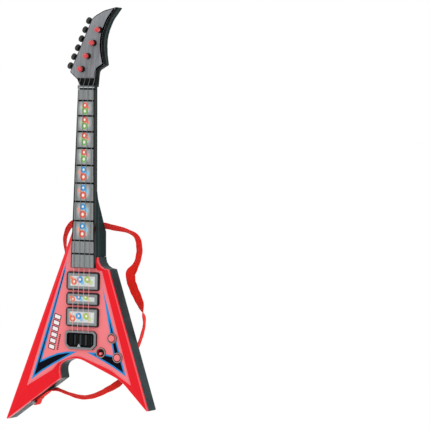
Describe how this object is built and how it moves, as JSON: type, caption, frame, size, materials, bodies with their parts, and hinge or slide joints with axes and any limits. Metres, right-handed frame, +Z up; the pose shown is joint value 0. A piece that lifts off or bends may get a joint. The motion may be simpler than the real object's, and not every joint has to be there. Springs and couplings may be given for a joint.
{
  "type": "toy electric guitar",
  "caption": "Upright toy electric guitar with an asymmetric V body, fret keys and touch pads that press, tuner knobs that turn, push buttons, a slide switch and a loose shoulder strap.",
  "frame": {"origin": "on the neck's centre line under the headstock, where a hanger's yoke carries the guitar, in the plane of the body's front label", "axes": "+Z up the neck, -Y out of the front face towards the player's audience, +Y out of the back, +X to the right seen from the front"},
  "size_m": [0.2499, 0.071, 0.6604],
  "materials": {
    "red_shell": "moulded, glossy",
    "coral_label": "printed sheet under clear gloss",
    "dark_shell": "moulded, fine satin texture",
    "head_grey": "moulded, lengthwise brushed texture",
    "post_red": "moulded, glossy",
    "black_plastic": "moulded, satin",
    "key_grey": "printed and lacquered",
    "nut_grey": "moulded, glossy",
    "string_nylon": "drawn nylon",
    "frame_grey": "moulded, silver-grey paint",
    "pad_screen": "translucent, printed",
    "button_pink": "moulded, translucent",
    "battery_wrap": "printed sleeve",
    "screw_steel": "zinc plated",
    "circuit_board": "lacquered",
    "speaker_cone": "pressed paper",
    "strap_webbing": "woven flat webbing"
  },
  "bodies": {
    "guitar": {"body_front_shell": "red_shell", "front_label": "coral_label", "body_back_shell": "dark_shell", "neck_back_shell": "dark_shell", "headstock_face": "head_grey", "string_post_1": "post_red", "string_post_2": "post_red", "string_post_3": "post_red", "string_post_4": "post_red", "fretboard": "black_plastic", "nut": "nut_grey", "string_clamp": "black_plastic", "string_1": "string_nylon", "string_2": "string_nylon", "string_3": "string_nylon", "string_4": "string_nylon", "pad_frame_1": "frame_grey", "pad_frame_2": "frame_grey", "pad_frame_3": "frame_grey", "bridge_frame": "frame_grey", "bridge_saddles": "black_plastic", "button_ring_1": "frame_grey", "button_ring_2": "frame_grey", "button_ring_3": "frame_grey", "battery_box": "black_plastic", "battery_1": "battery_wrap", "battery_2": "battery_wrap", "battery_3": "battery_wrap", "shell_screw_1": "screw_steel", "shell_screw_2": "screw_steel", "neck_screw_1": "screw_steel", "neck_screw_2": "screw_steel", "main_board": "circuit_board", "speaker": "speaker_cone", "neck_light_board": "circuit_board", "strap_lug_lower": "black_plastic", "strap_lug_upper": "black_plastic", "strap": "strap_webbing"},
    "fret_key_1": {"fret_key_1": "key_grey"},
    "fret_key_2": {"fret_key_2": "key_grey"},
    "fret_key_3": {"fret_key_3": "key_grey"},
    "fret_key_4": {"fret_key_4": "key_grey"},
    "fret_key_5": {"fret_key_5": "key_grey"},
    "fret_key_6": {"fret_key_6": "key_grey"},
    "fret_key_7": {"fret_key_7": "key_grey"},
    "fret_key_8": {"fret_key_8": "key_grey"},
    "pad_1": {"pad_1": "pad_screen"},
    "pad_2": {"pad_2": "pad_screen"},
    "pad_3": {"pad_3": "pad_screen"},
    "button_1": {"button_1": "button_pink"},
    "button_2": {"button_2": "button_pink"},
    "power_switch": {"power_switch": "post_red"},
    "tuner_knob_1": {"tuner_knob_1": "black_plastic"},
    "tuner_knob_2": {"tuner_knob_2": "black_plastic"},
    "tuner_knob_3": {"tuner_knob_3": "black_plastic"},
    "tuner_knob_4": {"tuner_knob_4": "black_plastic"},
    "tuner_knob_5": {"tuner_knob_5": "black_plastic"},
    "tuner_knob_6": {"tuner_knob_6": "black_plastic"},
    "battery_cover": {"battery_cover": "dark_shell", "battery_cover_screw": "screw_steel"}
  },
  "joints": [
    {"name": "press_fret_key_1", "type": "slide", "parent": "guitar", "child": "fret_key_1", "axis": [0, 1, 0], "range_m": [0, 0.001], "stiffness_N_per_m": 600, "springref_m": -0.0008},
    {"name": "press_fret_key_2", "type": "slide", "parent": "guitar", "child": "fret_key_2", "axis": [0, 1, 0], "range_m": [0, 0.001], "stiffness_N_per_m": 600, "springref_m": -0.0008},
    {"name": "press_fret_key_3", "type": "slide", "parent": "guitar", "child": "fret_key_3", "axis": [0, 1, 0], "range_m": [0, 0.001], "stiffness_N_per_m": 600, "springref_m": -0.0008},
    {"name": "press_fret_key_4", "type": "slide", "parent": "guitar", "child": "fret_key_4", "axis": [0, 1, 0], "range_m": [0, 0.001], "stiffness_N_per_m": 600, "springref_m": -0.0008},
    {"name": "press_fret_key_5", "type": "slide", "parent": "guitar", "child": "fret_key_5", "axis": [0, 1, 0], "range_m": [0, 0.001], "stiffness_N_per_m": 600, "springref_m": -0.0008},
    {"name": "press_fret_key_6", "type": "slide", "parent": "guitar", "child": "fret_key_6", "axis": [0, 1, 0], "range_m": [0, 0.001], "stiffness_N_per_m": 600, "springref_m": -0.0008},
    {"name": "press_fret_key_7", "type": "slide", "parent": "guitar", "child": "fret_key_7", "axis": [0, 1, 0], "range_m": [0, 0.001], "stiffness_N_per_m": 600, "springref_m": -0.0008},
    {"name": "press_fret_key_8", "type": "slide", "parent": "guitar", "child": "fret_key_8", "axis": [0, 1, 0], "range_m": [0, 0.001], "stiffness_N_per_m": 600, "springref_m": -0.0008},
    {"name": "press_pad_1", "type": "slide", "parent": "guitar", "child": "pad_1", "axis": [0, 1, 0], "range_m": [0, 0.0012], "stiffness_N_per_m": 600, "springref_m": -0.0008},
    {"name": "press_pad_2", "type": "slide", "parent": "guitar", "child": "pad_2", "axis": [0, 1, 0], "range_m": [0, 0.0012], "stiffness_N_per_m": 600, "springref_m": -0.0008},
    {"name": "press_pad_3", "type": "slide", "parent": "guitar", "child": "pad_3", "axis": [0, 1, 0], "range_m": [0, 0.0012], "stiffness_N_per_m": 600, "springref_m": -0.0008},
    {"name": "press_button_1", "type": "slide", "parent": "guitar", "child": "button_1", "axis": [0, 1, 0], "range_m": [0, 0.0015], "stiffness_N_per_m": 500, "springref_m": -0.0008},
    {"name": "press_button_2", "type": "slide", "parent": "guitar", "child": "button_2", "axis": [0, 1, 0], "range_m": [0, 0.0015], "stiffness_N_per_m": 500, "springref_m": -0.0008},
    {"name": "slide_power_switch", "type": "slide", "parent": "guitar", "child": "power_switch", "axis": [0, 0, 1], "range_m": [0, 0.003]},
    {"name": "turn_tuner_knob_1", "type": "hinge", "parent": "guitar", "child": "tuner_knob_1", "pos_m": [-0.02971, 0.0085, 0.02551], "axis": [-0.9158, 0, 0.4017], "continuous": true},
    {"name": "turn_tuner_knob_2", "type": "hinge", "parent": "guitar", "child": "tuner_knob_2", "pos_m": [-0.02344, 0.0085, 0.0398], "axis": [-0.9158, 0, 0.4017], "continuous": true},
    {"name": "turn_tuner_knob_3", "type": "hinge", "parent": "guitar", "child": "tuner_knob_3", "pos_m": [-0.01717, 0.0085, 0.05408], "axis": [-0.9158, 0, 0.4017], "continuous": true},
    {"name": "turn_tuner_knob_4", "type": "hinge", "parent": "guitar", "child": "tuner_knob_4", "pos_m": [-0.01091, 0.0085, 0.06837], "axis": [-0.9158, 0, 0.4017], "continuous": true},
    {"name": "turn_tuner_knob_5", "type": "hinge", "parent": "guitar", "child": "tuner_knob_5", "pos_m": [-0.00464, 0.0085, 0.08266], "axis": [-0.9158, 0, 0.4017], "continuous": true},
    {"name": "turn_tuner_knob_6", "type": "hinge", "parent": "guitar", "child": "tuner_knob_6", "pos_m": [0.00162, 0.0085, 0.09694], "axis": [-0.9158, 0, 0.4017], "continuous": true},
    {"name": "lift_battery_cover", "type": "slide", "parent": "guitar", "child": "battery_cover", "axis": [0, 1, 0], "range_m": [0, 0.025]}
  ]
}
